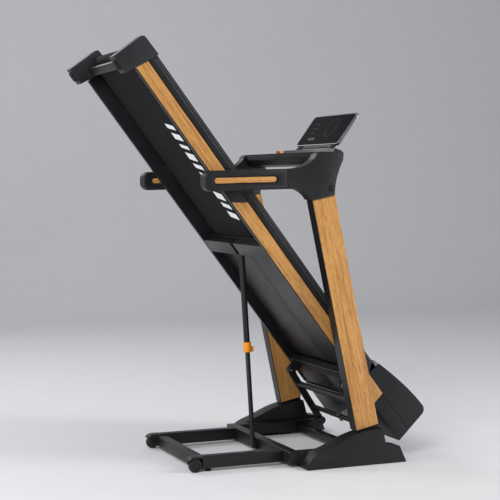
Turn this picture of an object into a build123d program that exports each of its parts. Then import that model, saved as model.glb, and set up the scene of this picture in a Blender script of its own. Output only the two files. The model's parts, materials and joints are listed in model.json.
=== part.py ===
from build123d import *
import os
from math import asin, atan2, cos, degrees, hypot, radians, sin

# A folding treadmill with its deck stored upright. +X is the way the runner faces, +Y is the
# runner's left, +Z is up. The origin is on the floor, under the middle of the stored machine.

os.makedirs("parts", exist_ok=True)

# --- driving dimensions, in millimetres and degrees ------------------------------------------
HEEL_X = 304.435            # the rear bottom corner of the uprights' wood
UPRIGHT_HEEL_Z = 134.0
UPRIGHT_LEAN = 12.1       # backward lean of the uprights
UPRIGHT_DEPTH = 100.0
UPRIGHT_LENGTH = 909.0    # length of the wood cladding
UPRIGHT_IN, UPRIGHT_OUT = 330.0, 376.0
CLADDING = 7.0            # thickness of the wood cladding

TUBE_LOW, TUBE_HIGH = 12.0, 60.0
TUBE_WALL = 2.5
REAR_SIDE_IN, REAR_SIDE_OUT = 221.0, 261.0
REAR_SIDE_START = HEEL_X - 588.0
FRONT_SIDE_IN, FRONT_SIDE_OUT = 284.0, 324.0
FRONT_SIDE_END = HEEL_X + 165.0
REAR_TUBE_X, MIDDLE_TUBE_X, FRONT_TUBE_X = HEEL_X - 586.0, HEEL_X - 235.0, HEEL_X + 80.0
MIDDLE_TUBE_WIDTH = 42.0
REAR_TUBE_HIGH, FRONT_TUBE_HIGH = 54.0, 42.0

WHEEL_X = HEEL_X - 616.0
WHEEL_RADIUS = 25.0
WHEEL_IN, WHEEL_OUT = 243.0, 262.0
AXLE_RADIUS = 5.0
RUNNING_CLEARANCE = 0.05  # radial clearance of a pin or shaft that turns

COVER_IN, COVER_OUT = 324.5, 396.0
COVER_WALL = 3.0

RAIL_IN, RAIL_OUT = 330.0, 381.0      # handrails and console brackets
RAIL_TILT = 1.4
RAIL_REAR, RAIL_FRONT = HEEL_X - 625.0, HEEL_X - 296.0
RAIL_MIDDLE_Z = 1105.0                # at the handrail's front end
RAIL_HEIGHT = 76.0

DISPLAY_X, DISPLAY_Z = HEEL_X + 5.0, 1244.0
DISPLAY_LEAN = 53.7                   # angle of the display's face above the floor
DISPLAY_WIDTH, DISPLAY_HEIGHT, DISPLAY_THICK = 390.0, 157.0, 13.0

TILT_X, TILT_Z = HEEL_X + 5.0, 1233.0 # the display's hinge

FOLD_ANGLE = 52.7                     # the stored deck's angle above the floor
DECK_X, DECK_Z = HEEL_X - 132.5, 546.0
DECK_SIDE = 303.0                     # inner face of the deck's side rails
DECK_WOOD_IN, DECK_WOOD_OUT = 306.0, 318.0
DECK_WOOD_HIGH = 51.0
BELT_HALF = 256.0
BELT_THICK = 2.0
ROLLER_RADIUS = 20.0
ROLLER_T = 64.5                       # height of both rollers above the deck's underside
REAR_ROLLER_S, FRONT_ROLLER_S = 1240.0, -330.0
BELT_GAP = 0.4                        # between the belt and what turns inside it

PIVOT_S, PIVOT_T = -555.0, -68.0      # fold pivot, in the deck's own directions
LIFT_TOP_S, LIFT_TOP_T = -287.0, -47.0
ARM_IN, ARM_OUT = 235.0, 247.0
ARM_HALF = 14.0
ACTUATOR_S, ACTUATOR_Y = -480.0, -30.0
LIFT_BAR_RADIUS = 10.0

STRUT_FOOT_X, STRUT_FOOT_Z = HEEL_X - 272.0, 36.0
STRUT_TOP_S, STRUT_TOP_T = 341.0, 20.0
STRUT_LOWER_RADIUS, STRUT_UPPER_RADIUS = 9.5, 12.0
STRUT_SLEEVE_AT = 372.0               # from the foot's pin to the upper tube's end

SIDES = (("left", 1), ("right", -1))


# --- helpers ----------------------------------------------------------------------------------
def save(piece, name):
    """Label a finished sub-part and write its STEP file."""
    piece.part.label = name
    export_step(piece.part, f"parts/{name}.step")


def join(name, *pieces):
    """Write several finished pieces that never move against each other as one sub-part."""
    with BuildPart() as group:
        for piece in pieces:
            add(piece)
    save(group, name)


def span(sign, inner, outer):
    """The lower and upper Y of a slab that lies between two distances from the middle."""
    return (inner, outer) if sign > 0 else (-outer, -inner)


def upright_plane(y):
    """Profiles seen from the side: local x is X and local y is Z, and extruding goes to +Y."""
    return Plane(origin=(0, y, 0), x_dir=(1, 0, 0), z_dir=(0, -1, 0))


def deck_plane(y):
    """Profiles of the deck: local x runs up along it and local y towards its running side."""
    along = (-cos(radians(FOLD_ANGLE)), 0, sin(radians(FOLD_ANGLE)))
    return Plane(origin=(DECK_X, y, DECK_Z), x_dir=along, z_dir=(0, 1, 0))


def deck_point(s, t, y=0.0):
    """The place in the object's frame of a point given in the deck's directions."""
    c, k = cos(radians(FOLD_ANGLE)), sin(radians(FOLD_ANGLE))
    return Vector(DECK_X - c * s + k * t, y, DECK_Z + k * s + c * t)


def lean_point(along, across):
    """A point of an upright, from its heel: along its length and across its depth."""
    c, k = cos(radians(UPRIGHT_LEAN)), sin(radians(UPRIGHT_LEAN))
    return HEEL_X - k * along + c * across, UPRIGHT_HEEL_Z + c * along + k * across


def round_plane(x, y, z):
    """A plane for round things that turn about a line parallel to Y."""
    return Plane(origin=(x, y, z), x_dir=(1, 0, 0), z_dir=(0, 1, 0))


def outline(points):
    """A closed straight-sided outline, made into a face of the current sketch."""
    with BuildLine() as edge:
        Polyline(*points, close=True)
    make_face(edge.edges())


def slabs(name, plane_at, spans, points, rounding=0.0):
    """Plates or blocks of one straight-sided outline, between several pairs of Y values."""
    with BuildPart() as piece:
        for low, high in spans:
            with BuildSketch(plane_at(low if plane_at is deck_plane else high)):
                outline(points)
            extrude(amount=high - low)
        if rounding:
            fillet(piece.edges().filter_by(Axis.Y), rounding)
    save(piece, name)


def cross_tube(plane, width, height, half_length, radius=4.0):
    """A rectangular steel tube that runs across the machine."""
    with BuildPart() as tube:
        with BuildSketch(plane.offset(-half_length)):
            RectangleRounded(width, height, radius)
            RectangleRounded(width - 2 * TUBE_WALL, height - 2 * TUBE_WALL, radius - 1.5, mode=Mode.SUBTRACT)
        extrude(amount=2 * half_length)
    return tube.part


# --- base frame ---------------------------------------------------------------------------------
tube_middle = (TUBE_LOW + TUBE_HIGH) / 2
tube_height = TUBE_HIGH - TUBE_LOW


def side_tubes(inner, outer, start, end):
    """A pair of rectangular steel tubes that run from the rear towards the front."""
    begin = Plane(origin=(start, 0, tube_middle), x_dir=(0, 1, 0), z_dir=(1, 0, 0))
    width = outer - inner
    with BuildPart() as tubes:
        with BuildSketch(begin):
            with Locations(((inner + outer) / 2, 0), (-(inner + outer) / 2, 0)):
                RectangleRounded(width, tube_height, 5)
                RectangleRounded(width - 2 * TUBE_WALL, tube_height - 2 * TUBE_WALL, 3, mode=Mode.SUBTRACT)
        extrude(amount=end - start)
    return tubes.part


rear_tubes = side_tubes(REAR_SIDE_IN, REAR_SIDE_OUT, REAR_SIDE_START, MIDDLE_TUBE_X - MIDDLE_TUBE_WIDTH / 2)
front_tubes = side_tubes(FRONT_SIDE_IN, FRONT_SIDE_OUT, MIDDLE_TUBE_X + MIDDLE_TUBE_WIDTH / 2, FRONT_SIDE_END)
rear_cross = cross_tube(round_plane(REAR_TUBE_X, 0, (TUBE_LOW + REAR_TUBE_HIGH) / 2),
                        40, REAR_TUBE_HIGH - TUBE_LOW, REAR_SIDE_IN)
middle_cross = cross_tube(round_plane(MIDDLE_TUBE_X, 0, tube_middle),
                          MIDDLE_TUBE_WIDTH, tube_height + 2, FRONT_SIDE_OUT)
front_cross = cross_tube(round_plane(FRONT_TUBE_X, 0, (TUBE_LOW + FRONT_TUBE_HIGH) / 2),
                         40, FRONT_TUBE_HIGH - TUBE_LOW, FRONT_SIDE_IN)
join("base_side_tubes", rear_tubes, front_tubes)

# Short outriggers carry the uprights, outboard of the front tubes
OUTRIGGER_HIGH = 52.0
with BuildPart() as base_outriggers:
    for _, sign in SIDES:
        low, high = span(sign, FRONT_SIDE_OUT, UPRIGHT_OUT - CLADDING)
        with BuildSketch(upright_plane(high)):
            outline([(HEEL_X + 8, TUBE_LOW + 2), (HEEL_X + 130, TUBE_LOW + 2),
                     (HEEL_X + 130, OUTRIGGER_HIGH), (HEEL_X + 8, OUTRIGGER_HIGH)])
        extrude(amount=high - low)
join("base_cross_tubes", rear_cross, middle_cross, front_cross, base_outriggers.part)

# Rubber pads under the front tubes and two screwed levelling feet near the wheels
PAD_X = (HEEL_X - 190.0, HEEL_X + 140.0)
with BuildPart() as floor_pads:
    for x in PAD_X:
        for _, sign in SIDES:
            with BuildSketch(Plane.XY):
                with Locations((x, sign * (FRONT_SIDE_IN + FRONT_SIDE_OUT) / 2)):
                    RectangleRounded(44, 34, 8)
            extrude(amount=TUBE_LOW)

FOOT_X, FOOT_Y = HEEL_X - 560.0, 241.0
with BuildPart() as levelling_feet:
    for _, sign in SIDES:
        with BuildSketch(Plane.XY):
            with Locations((FOOT_X, sign * FOOT_Y)):
                Circle(12)
        extrude(amount=7)
        with BuildSketch(Plane.XY.offset(7)):
            with Locations((FOOT_X, sign * FOOT_Y)):
                RegularPolygon(7, 6)
        extrude(amount=TUBE_LOW - 7)
join("floor_feet", floor_pads.part, levelling_feet.part)

# Wheel forks plug the rear tubes and hood the transport wheels
FORK_HIGH = TUBE_HIGH
with BuildPart() as wheel_forks:
    for _, sign in SIDES:
        low, high = span(sign, REAR_SIDE_IN, WHEEL_IN - 3)
        hood_low, hood_high = span(sign, REAR_SIDE_IN, REAR_SIDE_OUT)
        with BuildSketch(upright_plane(high)):
            with BuildLine():
                Line((REAR_SIDE_START, TUBE_LOW), (REAR_SIDE_START, FORK_HIGH))
                Line((REAR_SIDE_START, FORK_HIGH), (WHEEL_X, FORK_HIGH))
                ThreePointArc((WHEEL_X, FORK_HIGH), (WHEEL_X - 18, 51), (WHEEL_X - 25, 33))
                Line((WHEEL_X - 25, 33), (WHEEL_X - 10, TUBE_LOW))
                Line((WHEEL_X - 10, TUBE_LOW), (REAR_SIDE_START, TUBE_LOW))
            make_face()
        extrude(amount=high - low)
        with BuildSketch(upright_plane(hood_high)):
            with BuildLine():
                Line((REAR_SIDE_START, FORK_HIGH - 8), (REAR_SIDE_START, FORK_HIGH))
                Line((REAR_SIDE_START, FORK_HIGH), (WHEEL_X, FORK_HIGH))
                ThreePointArc((WHEEL_X, FORK_HIGH), (WHEEL_X - 18, 55.5), (WHEEL_X - 29, 46))
                Line((WHEEL_X - 29, 46), (WHEEL_X - 24, 44))
                ThreePointArc((WHEEL_X - 24, 44), (WHEEL_X - 14, 50), (WHEEL_X, FORK_HIGH - 8))
                Line((WHEEL_X, FORK_HIGH - 8), (REAR_SIDE_START, FORK_HIGH - 8))
            make_face()
        extrude(amount=hood_high - hood_low)
        with BuildSketch(round_plane(WHEEL_X, low - 1, WHEEL_RADIUS)):
            Circle(AXLE_RADIUS)
        extrude(amount=high - low + 2, mode=Mode.SUBTRACT)

for side, sign in SIDES:
    low, high = span(sign, WHEEL_IN, WHEEL_OUT)
    with BuildPart() as wheel:
        with BuildSketch(round_plane(WHEEL_X, low, WHEEL_RADIUS)):
            Circle(WHEEL_RADIUS)
        extrude(amount=high - low)
        fillet(wheel.edges().filter_by(GeomType.CIRCLE), 3)
        with BuildSketch(round_plane(WHEEL_X, high if sign > 0 else low, WHEEL_RADIUS)):
            Circle(17)
            Circle(9, mode=Mode.SUBTRACT)
        extrude(amount=-2 * sign, mode=Mode.SUBTRACT)
        with BuildSketch(round_plane(WHEEL_X, low - 1, WHEEL_RADIUS)):
            Circle(AXLE_RADIUS + RUNNING_CLEARANCE)
        extrude(amount=high - low + 2, mode=Mode.SUBTRACT)
    save(wheel, f"transport_wheel_{side}")

with BuildPart() as wheel_axles:
    for _, sign in SIDES:
        low, high = span(sign, REAR_SIDE_IN + 2, WHEEL_OUT + 0.5)
        with BuildSketch(round_plane(WHEEL_X, low, WHEEL_RADIUS)):
            Circle(AXLE_RADIUS)
        extrude(amount=high - low)
        head_low, head_high = span(sign, WHEEL_OUT + 0.5, WHEEL_OUT + 2.5)
        with BuildSketch(round_plane(WHEEL_X, head_low, WHEEL_RADIUS)):
            Circle(8)
        extrude(amount=head_high - head_low)
join("wheel_forks", wheel_forks.part, wheel_axles.part)


# --- uprights -------------------------------------------------------------------------------------
def lean_outline(along_low, along_high, inset):
    """The four corners of a piece of an upright, set in from its front and rear edges."""
    far = UPRIGHT_DEPTH - inset
    return [lean_point(along_low, inset), lean_point(along_low, far),
            lean_point(along_high, far), lean_point(along_high, inset)]


CORE_INSET = 2.5
CORE_TOP = UPRIGHT_LENGTH + 75.0
with BuildPart() as upright_tubes:
    for _, sign in SIDES:
        low, high = span(sign, UPRIGHT_IN + CLADDING, UPRIGHT_OUT - CLADDING)
        with BuildSketch(upright_plane(high)):
            outline(lean_outline(-110, CORE_TOP, CORE_INSET))
        extrude(amount=high - low)
        with BuildSketch(upright_plane(high - TUBE_WALL)):
            outline(lean_outline(-111, CORE_TOP + 1, CORE_INSET + TUBE_WALL))
        extrude(amount=high - low - 2 * TUBE_WALL, mode=Mode.SUBTRACT)
        with BuildSketch(Plane.XY):
            with Locations((HEEL_X, sign * UPRIGHT_IN)):
                Rectangle(600, 200)
        extrude(amount=OUTRIGGER_HIGH, mode=Mode.SUBTRACT)

# A steel strip as wide as the whole upright closes its rear edge
REAR_STRIP = 3.5
with BuildPart() as rear_strips:
    for _, sign in SIDES:
        low, high = span(sign, UPRIGHT_IN, UPRIGHT_OUT)
        with BuildSketch(upright_plane(high)):
            outline([lean_point(0, 0), lean_point(0, REAR_STRIP),
                     lean_point(UPRIGHT_LENGTH, REAR_STRIP), lean_point(UPRIGHT_LENGTH, 0)])
        extrude(amount=high - low)
join("upright_tubes", upright_tubes.part, rear_strips.part)

WOOD_OUTLINE = [lean_point(0, REAR_STRIP), lean_point(0, UPRIGHT_DEPTH),
                lean_point(UPRIGHT_LENGTH, UPRIGHT_DEPTH), lean_point(UPRIGHT_LENGTH, REAR_STRIP)]
for side, sign in SIDES:
    slabs(f"upright_wood_{side}", upright_plane, (span(sign, UPRIGHT_OUT - CLADDING, UPRIGHT_OUT),
          span(sign, UPRIGHT_IN, UPRIGHT_IN + CLADDING)), WOOD_OUTLINE, 1.5)

# --- base covers ----------------------------------------------------------------------------------
COVER_LOW = 2.0


def cover_outline(inset):
    """The tall side of a base cover: a swept back, an upright front and a low toe."""
    rear, toe = HEEL_X - 214.0 + inset, HEEL_X + 212.0 - inset
    floor = COVER_LOW if inset == 0 else COVER_LOW - 1
    with BuildLine() as edge:
        Line((toe, floor), (rear, floor))
        Line((rear, floor), (rear + 1, 20))
        Spline((rear + 1, 20), (HEEL_X - 190 + inset, 48 - inset), (HEEL_X - 128, 76 - inset),
               (HEEL_X - 42, 112 - inset), (HEEL_X + 42, 133 - inset), (HEEL_X + 106 - inset, 139 - inset))
        Line((HEEL_X + 106 - inset, 139 - inset), (HEEL_X + 119 - inset, 92))
        ThreePointArc((HEEL_X + 119 - inset, 92), (HEEL_X + 124 - inset, 79 - inset / 2),
                      (HEEL_X + 136, 73 - inset))
        Line((HEEL_X + 136, 73 - inset), (HEEL_X + 183 - inset, 65 - inset))
        Line((HEEL_X + 183 - inset, 65 - inset), (toe, floor))
    make_face(edge.edges())


for side, sign in SIDES:
    low, high = span(sign, COVER_IN, COVER_OUT)
    with BuildPart() as base_cover:
        with BuildSketch(upright_plane(high)):
            cover_outline(0)
        extrude(amount=high - low)
        with BuildSketch(upright_plane(high - COVER_WALL)):
            cover_outline(COVER_WALL)
        extrude(amount=high - low - 2 * COVER_WALL, mode=Mode.SUBTRACT)
        # Where the wood cladding and the steel core stand in the sloping top
        wood_low, wood_high = span(sign, UPRIGHT_IN - 0.5, UPRIGHT_OUT + 0.5)
        with BuildSketch(upright_plane(wood_high)):
            outline(lean_outline(-60, 60, -0.5))
        extrude(amount=wood_high - wood_low, mode=Mode.SUBTRACT)
        # The outrigger comes through the inner wall
        wall_low, wall_high = span(sign, COVER_IN - 1, COVER_IN + COVER_WALL + 1)
        with BuildSketch(upright_plane(wall_high)):
            outline([(HEEL_X + 7, COVER_LOW - 1), (HEEL_X + 131, COVER_LOW - 1),
                     (HEEL_X + 131, OUTRIGGER_HIGH + 1), (HEEL_X + 7, OUTRIGGER_HIGH + 1)])
        extrude(amount=wall_high - wall_low, mode=Mode.SUBTRACT)
    save(base_cover, f"base_cover_{side}")

# --- console brackets and handrails ---------------------------------------------------------------
rail_slope = sin(radians(RAIL_TILT))


def rail_z(x):
    """Height of the handrail's middle line at a given X."""
    return RAIL_MIDDLE_Z + (x - RAIL_FRONT) * rail_slope


for side, sign in SIDES:
    low, high = span(sign, RAIL_IN, RAIL_OUT)
    joint_high, joint_low = RAIL_MIDDLE_Z + RAIL_HEIGHT / 2, RAIL_MIDDLE_Z - RAIL_HEIGHT / 2
    with BuildPart() as console_bracket:
        with BuildSketch(upright_plane(high)):
            with BuildLine():
                Line((RAIL_FRONT, joint_low), (RAIL_FRONT, joint_high))
                Spline((RAIL_FRONT, joint_high), (HEEL_X - 237, 1150), (HEEL_X - 195, 1171),
                       (HEEL_X - 172, 1201), tangents=((1, 0.02), (0.35, 1)))
                Polyline((HEEL_X - 172, 1201), (HEEL_X - 160, 1208), (HEEL_X - 62, 1208),
                         (HEEL_X - 59, 1200), (HEEL_X - 62, 1176))
                Spline((HEEL_X - 62, 1176), (HEEL_X - 80, 1134), (HEEL_X - 92, 1088), (HEEL_X - 96, 1044))
                Polyline((HEEL_X - 96, 1044), lean_point(UPRIGHT_LENGTH + 1, 0), (HEEL_X - 201, 1028))
                Spline((HEEL_X - 201, 1028), (HEEL_X - 226, 1054), (HEEL_X - 252, 1066),
                       (RAIL_FRONT, joint_low), tangents=((-0.55, 1), (-1, 0)))
            make_face()
        extrude(amount=high - low)
        # The pocket that takes the upright's steel core
        slot_low, slot_high = span(sign, UPRIGHT_IN + CLADDING, UPRIGHT_OUT - CLADDING)
        with BuildSketch(upright_plane(slot_high)):
            outline(lean_outline(UPRIGHT_LENGTH - 20, CORE_TOP, CORE_INSET))
        extrude(amount=slot_high - slot_low, mode=Mode.SUBTRACT)
    save(console_bracket, f"console_bracket_{side}")

SLOT_REAR, SLOT_FRONT = HEEL_X - 588.0, HEEL_X - 332.0
SLOT_HEIGHT, INLAY_HEIGHT = 28.0, 21.0
SLOT_DEPTH, INLAY_THICK = 9.0, 5.0
KEY_X = (HEEL_X - 414.0, HEEL_X - 382.0)
KEY_POCKET = 4.0


def rail_end_outline():
    """The handrail's rounded-rectangle outline, tilted up towards the front."""
    half, radius = RAIL_HEIGHT / 2, 30.0
    rear = RAIL_REAR
    with BuildLine() as edge:
        Line((rear + radius, rail_z(rear) + half), (RAIL_FRONT, RAIL_MIDDLE_Z + half))
        Line((RAIL_FRONT, RAIL_MIDDLE_Z + half), (RAIL_FRONT, RAIL_MIDDLE_Z - half))
        Line((RAIL_FRONT, RAIL_MIDDLE_Z - half), (rear + radius, rail_z(rear) - half))
        RadiusArc((rear + radius, rail_z(rear) - half), (rear, rail_z(rear) - half + radius), radius)
        Line((rear, rail_z(rear) - half + radius), (rear, rail_z(rear) + half - radius))
        RadiusArc((rear, rail_z(rear) + half - radius), (rear + radius, rail_z(rear) + half), radius)
    make_face(edge.edges())


def slot_outline(height):
    """A round-ended slot along the handrail's middle line, as long as the pocket less the margin."""
    middle = (SLOT_REAR + SLOT_FRONT) / 2
    with Locations(Location((middle, rail_z(middle)), RAIL_TILT)):
        SlotOverall(SLOT_FRONT - SLOT_REAR - (SLOT_HEIGHT - height), height)


for side, sign in SIDES:
    low, high = span(sign, RAIL_IN, RAIL_OUT)
    with BuildPart() as handrail:
        with BuildSketch(upright_plane(high)):
            rail_end_outline()
        extrude(amount=high - low)
        side_edges = handrail.faces().filter_by(Axis.Y).edges()
        fillet(side_edges.filter_by(lambda e: e.center().X < RAIL_FRONT - 1), 9)
        for slot_low, slot_high in ((low - 1, low + SLOT_DEPTH), (high - SLOT_DEPTH, high + 1)):
            with BuildSketch(upright_plane(slot_high)):
                slot_outline(SLOT_HEIGHT)
            extrude(amount=slot_high - slot_low, mode=Mode.SUBTRACT)
        for x in KEY_X:
            pocket_top = Plane(origin=(x, (low + high) / 2, rail_z(x) + RAIL_HEIGHT / 2 + 1))
            with BuildSketch(pocket_top):
                RectangleRounded(24, 18, 4)
            extrude(amount=-KEY_POCKET - 1, mode=Mode.SUBTRACT)
    save(handrail, f"handrail_{side}")

    for x, use in zip(KEY_X, ("minus", "plus")):
        key_floor = rail_z(x) + RAIL_HEIGHT / 2 - KEY_POCKET
        with BuildPart() as rail_key:
            with BuildSketch(Plane(origin=(x, (low + high) / 2, key_floor + 1.6))):
                RectangleRounded(23.2, 17.2, 3.6)
            extrude(amount=KEY_POCKET + 0.9)
            fillet(rail_key.faces().sort_by(Axis.Z)[-1].edges(), 0.8)
        save(rail_key, f"handrail_key_{use}_{side}")

with BuildPart() as handrail_inlays:
    for _, sign in SIDES:
        low, high = span(sign, RAIL_IN, RAIL_OUT)
        for inlay_high in (low + SLOT_DEPTH, high - SLOT_DEPTH + INLAY_THICK):
            with BuildSketch(upright_plane(inlay_high)):
                slot_outline(INLAY_HEIGHT)
            extrude(amount=INLAY_THICK)
save(handrail_inlays, "handrail_inlays")

# --- console --------------------------------------------------------------------------------------
TRAY_HALF = RAIL_IN
TRAY_TOP = 1204.0
PANEL_THICK = 4.0
tray_profile = [(HEEL_X - 168, TRAY_TOP), (HEEL_X - 166, 1184), (HEEL_X - 150, 1162), (HEEL_X - 100, 1156),
                (HEEL_X - 66, 1156), (HEEL_X - 60, TRAY_TOP)]
with BuildPart() as console_tray:
    with BuildSketch(upright_plane(TRAY_HALF)):
        outline(tray_profile)
    extrude(amount=2 * TRAY_HALF)
    with BuildSketch(upright_plane(TRAY_HALF - 3)):
        outline([(HEEL_X - 165, TRAY_TOP + 1), (HEEL_X - 163, 1186), (HEEL_X - 149, 1165),
                 (HEEL_X - 100, 1159), (HEEL_X - 69, 1159), (HEEL_X - 63, TRAY_TOP + 1)])
    extrude(amount=2 * TRAY_HALF - 6, mode=Mode.SUBTRACT)

CONSOLE_KEYS = (("stop", 92.0, 34.0), ("start", -92.0, 34.0))
CONSOLE_KEY_X = HEEL_X - 106.0
SAFETY_X, SAFETY_Y = HEEL_X - 152.0, 12.0
with BuildPart() as console_panel:
    with BuildSketch(Plane.XY.offset(TRAY_TOP)):
        with Locations((HEEL_X - 115, 0)):
            RectangleRounded(108, 2 * TRAY_HALF, 4)
        for _, y, size in CONSOLE_KEYS:
            with Locations((CONSOLE_KEY_X, y)):
                RectangleRounded(18, size, 5, mode=Mode.SUBTRACT)
        with Locations((SAFETY_X, SAFETY_Y)):
            Circle(6.5, mode=Mode.SUBTRACT)
    extrude(amount=PANEL_THICK)
save(console_panel, "console_panel")

for name, y, size in CONSOLE_KEYS:
    with BuildPart() as console_key:
        with BuildSketch(Plane.XY.offset(TRAY_TOP - 0.5)):
            with Locations((CONSOLE_KEY_X, y)):
                RectangleRounded(17.2, size - 0.8, 4.6)
        extrude(amount=PANEL_THICK + 2)
        fillet(console_key.faces().sort_by(Axis.Z)[-1].edges(), 1)
    save(console_key, f"{name}_key")

with BuildPart() as key_board:
    with BuildSketch(Plane.XY.offset(1176)):
        with Locations((HEEL_X - 108, 0)):
            Rectangle(60, 320)
    extrude(amount=2)
    with BuildSketch(Plane.XY.offset(1159)):
        with Locations((HEEL_X - 108, -150), (HEEL_X - 108, 150)):
            Rectangle(40, 12)
    extrude(amount=17)
join("console_tray", console_tray.part, key_board.part)

with BuildPart() as safety_key:
    with BuildSketch(Plane.XY.offset(TRAY_TOP - 8)):
        with Locations((SAFETY_X, SAFETY_Y)):
            Circle(5)
    extrude(amount=8 + PANEL_THICK + 1)
    with BuildSketch(Plane.XY.offset(TRAY_TOP + PANEL_THICK + 0.5)):
        with Locations((SAFETY_X, SAFETY_Y)):
            RectangleRounded(18, 30, 7)
    extrude(amount=11)
    fillet(safety_key.faces().sort_by(Axis.Z)[-1].edges(), 3)
save(safety_key, "safety_key")

# The plinth behind the panel carries the display's hinge barrels
PLINTH_HALF = 244.0
with BuildPart() as display_plinth:
    with BuildSketch(upright_plane(PLINTH_HALF)):
        outline([(HEEL_X - 60, 1208), (HEEL_X - 60, 1158), (HEEL_X - 24, 1170), (HEEL_X + 2, 1204),
                 (HEEL_X + 3, 1216), (HEEL_X - 27, 1226), (HEEL_X - 34, 1208)])
    extrude(amount=2 * PLINTH_HALF)
    for y in (-150.0, 150.0):
        with BuildSketch(upright_plane(y + 12)):
            with Locations((TILT_X, TILT_Z)):
                Circle(7)
            with Locations((HEEL_X - 10, 1214)):
                Rectangle(16, 8)
            make_hull()
        extrude(amount=24)
    with BuildSketch(round_plane(TILT_X, -170, TILT_Z)):
        Circle(4 + RUNNING_CLEARANCE)
    extrude(amount=340, mode=Mode.SUBTRACT)
save(display_plinth, "display_plinth")

face_normal = (-sin(radians(DISPLAY_LEAN)), 0, cos(radians(DISPLAY_LEAN)))
display_plane = Plane(origin=(DISPLAY_X, 0, DISPLAY_Z), x_dir=(0, -1, 0), z_dir=face_normal)
RIM = 5.0
GLASS_THICK = 3.0
with BuildPart() as display_housing:
    with BuildSketch(display_plane.offset(-DISPLAY_THICK)):
        with Locations((0, DISPLAY_HEIGHT / 2)):
            RectangleRounded(DISPLAY_WIDTH - 2 * RIM, DISPLAY_HEIGHT - 2 * RIM, 14)
    extrude(amount=DISPLAY_THICK - GLASS_THICK)
    with BuildSketch(display_plane.offset(-DISPLAY_THICK + 3)):
        with Locations((0, DISPLAY_HEIGHT / 2)):
            RectangleRounded(DISPLAY_WIDTH - 2 * RIM - 6, DISPLAY_HEIGHT - 2 * RIM - 6, 11)
    extrude(amount=DISPLAY_THICK - GLASS_THICK - 3, mode=Mode.SUBTRACT)

with BuildPart() as display_rim:
    with BuildSketch(display_plane.offset(-DISPLAY_THICK)):
        with Locations((0, DISPLAY_HEIGHT / 2)):
            RectangleRounded(DISPLAY_WIDTH, DISPLAY_HEIGHT, 18)
            RectangleRounded(DISPLAY_WIDTH - 2 * RIM, DISPLAY_HEIGHT - 2 * RIM, 14, mode=Mode.SUBTRACT)
    extrude(amount=DISPLAY_THICK)
save(display_rim, "display_rim")

with BuildPart() as display_glass:
    with BuildSketch(display_plane.offset(-GLASS_THICK)):
        with Locations((0, DISPLAY_HEIGHT / 2)):
            RectangleRounded(DISPLAY_WIDTH - 2 * RIM, DISPLAY_HEIGHT - 2 * RIM, 14)
    extrude(amount=GLASS_THICK - 0.5)
save(display_glass, "display_glass")

with BuildPart() as display_board:
    with BuildSketch(display_plane.offset(-DISPLAY_THICK + 3)):
        with Locations((0, DISPLAY_HEIGHT / 2)):
            Rectangle(250, 100)
    extrude(amount=3)
join("display_housing", display_housing.part, display_board.part)

# The hinge bar is a rod that the display's lugs are fixed to
rise, back = cos(radians(DISPLAY_LEAN)), sin(radians(DISPLAY_LEAN))


def lug_point(up, across):
    """A point of a display lug: up along the display and across its thickness, from the hinge."""
    return TILT_X + rise * up - back * across, TILT_Z + back * up + rise * across


with BuildPart() as display_hinge_bar:
    with BuildSketch(round_plane(TILT_X, -167, TILT_Z)):
        Circle(4)
    extrude(amount=334)
    for y in (-163.5, -134.5, 137.5, 166.5):
        with BuildSketch(upright_plane(y)):
            outline([lug_point(-5, -5), lug_point(-5, 5), lug_point(8.8, 6), lug_point(8.8, -6)])
        extrude(amount=3)
save(display_hinge_bar, "display_hinge_bar")

# --- deck: frame ----------------------------------------------------------------------------------
RAIL_START, RAIL_END = -400.0, 1200.0
with BuildPart() as deck_side_rails:
    for _, sign in SIDES:
        low, high = span(sign, DECK_SIDE, DECK_WOOD_IN)
        lip_low, lip_high = span(sign, DECK_SIDE, DECK_WOOD_OUT + 1)
        with BuildSketch(deck_plane(low)):
            outline([(-578, 4), (RAIL_START, 4), (RAIL_START, -4), (RAIL_END, -4), (RAIL_END, 6),
                     (1252, 6), (1252, 56), (-578, 56)])
        extrude(amount=high - low)
        with BuildSketch(deck_plane(lip_low)):
            outline([(RAIL_START, -4), (RAIL_END, -4), (RAIL_END, -1), (RAIL_START, -1)])
        extrude(amount=lip_high - lip_low)
save(deck_side_rails, "deck_side_rails")

slabs("deck_wood", deck_plane, (span(1, DECK_WOOD_IN, DECK_WOOD_OUT), span(-1, DECK_WOOD_IN, DECK_WOOD_OUT)),
      [(-403, 0), (1206, 0), (1198, DECK_WOOD_HIGH), (-396, DECK_WOOD_HIGH)])

# Ribbed foot rails: a top plate, an outer skirt and an inner lip beside the belt
with BuildPart() as foot_rails:
    for _, sign in SIDES:
        rail_low = min(sign * 254.0, sign * 320.0)
        with BuildSketch(deck_plane(rail_low)):
            outline([(-262, 87.5), (1192, 87.5), (1192, 91), (-262, 91)])
        extrude(amount=66)
        skirt_low, skirt_high = span(sign, 313, 320)
        with BuildSketch(deck_plane(skirt_low)):
            outline([(-292, 54), (1196, 54), (1192, 91), (-262, 91)])
        extrude(amount=skirt_high - skirt_low)
        rest_low, rest_high = span(sign, DECK_SIDE, DECK_SIDE + 3)
        with BuildSketch(deck_plane(rest_low)):
            outline([(-262, 60), (1192, 60), (1192, 88), (-262, 88)])
        extrude(amount=rest_high - rest_low)
        for rib in range(7):
            rib_low = min(sign * (259.0 + 8 * rib), sign * (263.0 + 8 * rib))
            with BuildSketch(deck_plane(rib_low)):
                outline([(-255, 91), (1188, 91), (1188, 92.2), (-255, 92.2)])
            extrude(amount=4)
save(foot_rails, "foot_rails")


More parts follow.
